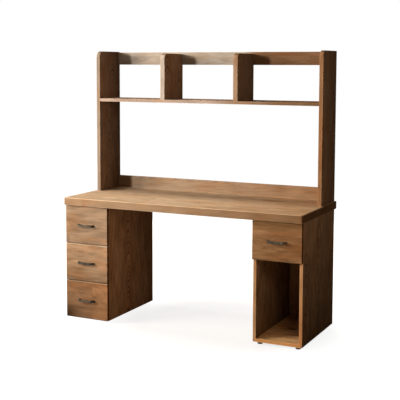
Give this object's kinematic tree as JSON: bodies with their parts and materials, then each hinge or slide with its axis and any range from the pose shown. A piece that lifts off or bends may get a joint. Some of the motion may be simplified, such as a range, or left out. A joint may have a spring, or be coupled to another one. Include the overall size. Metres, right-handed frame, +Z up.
{
  "type": "student desk with hutch",
  "caption": "Wooden student desk on two pedestals, with drawers on telescopic runners, an open computer bay and an open bookshelf hutch above the desktop.",
  "frame": {"origin": "on the floor, below the middle of the whole desk's box", "axes": "+X along the desk to the user's right, +Y from the drawer fronts to the back, +Z up"},
  "size_m": [1.5, 0.613, 1.612],
  "materials": {
    "stained_wood": "walnut-brown stain under a satin lacquer, laminated staves with open grain",
    "drawer_box_wood": "pale lacquered wood, fine straight grain",
    "handle_metal": "dark pewter, softly worn on the outer edges",
    "runner_steel": "zinc-plated rolled sheet",
    "foot_plastic": "black, matt",
    "dowel_beech": "plain beech",
    "screw_steel": "zinc-plated"
  },
  "bodies": {
    "desk": {"desktop": "stained_wood", "left_pedestal_outer_side": "stained_wood", "left_pedestal_inner_side": "stained_wood", "left_pedestal_bottom": "stained_wood", "left_pedestal_back": "stained_wood", "left_pedestal_front_stretcher": "stained_wood", "left_pedestal_rear_stretcher": "stained_wood", "right_pedestal_outer_side": "stained_wood", "right_pedestal_inner_side": "stained_wood", "right_pedestal_bottom": "stained_wood", "right_pedestal_back": "stained_wood", "right_pedestal_front_stretcher": "stained_wood", "right_pedestal_rear_stretcher": "stained_wood", "right_pedestal_shelf": "stained_wood", "hutch_left_upright": "stained_wood", "hutch_right_upright": "stained_wood", "hutch_shelf": "stained_wood", "hutch_left_divider": "stained_wood", "hutch_right_divider": "stained_wood", "hutch_top_rail": "stained_wood", "hutch_bottom_rail": "stained_wood", "feet": "foot_plastic", "hutch_dowels": "dowel_beech", "pedestal_screws": "screw_steel", "lower_left_drawer_outer_runners": "runner_steel", "middle_left_drawer_outer_runners": "runner_steel", "upper_left_drawer_outer_runners": "runner_steel", "right_drawer_outer_runners": "runner_steel"},
    "lower_left_drawer": {"lower_left_drawer_front": "stained_wood", "lower_left_drawer_left_side": "drawer_box_wood", "lower_left_drawer_right_side": "drawer_box_wood", "lower_left_drawer_back": "drawer_box_wood", "lower_left_drawer_bottom": "drawer_box_wood", "lower_left_drawer_handle": "handle_metal", "lower_left_drawer_inner_runners": "runner_steel"},
    "lower_left_drawer_carriage": {"lower_left_drawer_middle_runners": "runner_steel"},
    "middle_left_drawer": {"middle_left_drawer_front": "stained_wood", "middle_left_drawer_left_side": "drawer_box_wood", "middle_left_drawer_right_side": "drawer_box_wood", "middle_left_drawer_back": "drawer_box_wood", "middle_left_drawer_bottom": "drawer_box_wood", "middle_left_drawer_handle": "handle_metal", "middle_left_drawer_inner_runners": "runner_steel"},
    "middle_left_drawer_carriage": {"middle_left_drawer_middle_runners": "runner_steel"},
    "upper_left_drawer": {"upper_left_drawer_front": "stained_wood", "upper_left_drawer_left_side": "drawer_box_wood", "upper_left_drawer_right_side": "drawer_box_wood", "upper_left_drawer_back": "drawer_box_wood", "upper_left_drawer_bottom": "drawer_box_wood", "upper_left_drawer_handle": "handle_metal", "upper_left_drawer_inner_runners": "runner_steel"},
    "upper_left_drawer_carriage": {"upper_left_drawer_middle_runners": "runner_steel"},
    "right_drawer": {"right_drawer_front": "stained_wood", "right_drawer_left_side": "drawer_box_wood", "right_drawer_right_side": "drawer_box_wood", "right_drawer_back": "drawer_box_wood", "right_drawer_bottom": "drawer_box_wood", "right_drawer_handle": "handle_metal", "right_drawer_inner_runners": "runner_steel"},
    "right_drawer_carriage": {"right_drawer_middle_runners": "runner_steel"}
  },
  "joints": [
    {"name": "lower_left_drawer_slide", "type": "slide", "parent": "desk", "child": "lower_left_drawer", "axis": [0, -1, 0], "range_m": [0, 0.4]},
    {"name": "lower_left_drawer_carriage_slide", "type": "slide", "parent": "desk", "child": "lower_left_drawer_carriage", "axis": [0, -1, 0], "range_m": [0, 0.2]},
    {"name": "middle_left_drawer_slide", "type": "slide", "parent": "desk", "child": "middle_left_drawer", "axis": [0, -1, 0], "range_m": [0, 0.4]},
    {"name": "middle_left_drawer_carriage_slide", "type": "slide", "parent": "desk", "child": "middle_left_drawer_carriage", "axis": [0, -1, 0], "range_m": [0, 0.2]},
    {"name": "upper_left_drawer_slide", "type": "slide", "parent": "desk", "child": "upper_left_drawer", "axis": [0, -1, 0], "range_m": [0, 0.4]},
    {"name": "upper_left_drawer_carriage_slide", "type": "slide", "parent": "desk", "child": "upper_left_drawer_carriage", "axis": [0, -1, 0], "range_m": [0, 0.2]},
    {"name": "right_drawer_slide", "type": "slide", "parent": "desk", "child": "right_drawer", "axis": [0, -1, 0], "range_m": [0, 0.4]},
    {"name": "right_drawer_carriage_slide", "type": "slide", "parent": "desk", "child": "right_drawer_carriage", "axis": [0, -1, 0], "range_m": [0, 0.2]}
  ],
  "couplings": [
    {"joint": "lower_left_drawer_carriage_slide", "follows": "lower_left_drawer_slide", "ratio": 0.5},
    {"joint": "middle_left_drawer_carriage_slide", "follows": "middle_left_drawer_slide", "ratio": 0.5},
    {"joint": "upper_left_drawer_carriage_slide", "follows": "upper_left_drawer_slide", "ratio": 0.5},
    {"joint": "right_drawer_carriage_slide", "follows": "right_drawer_slide", "ratio": 0.5}
  ]
}
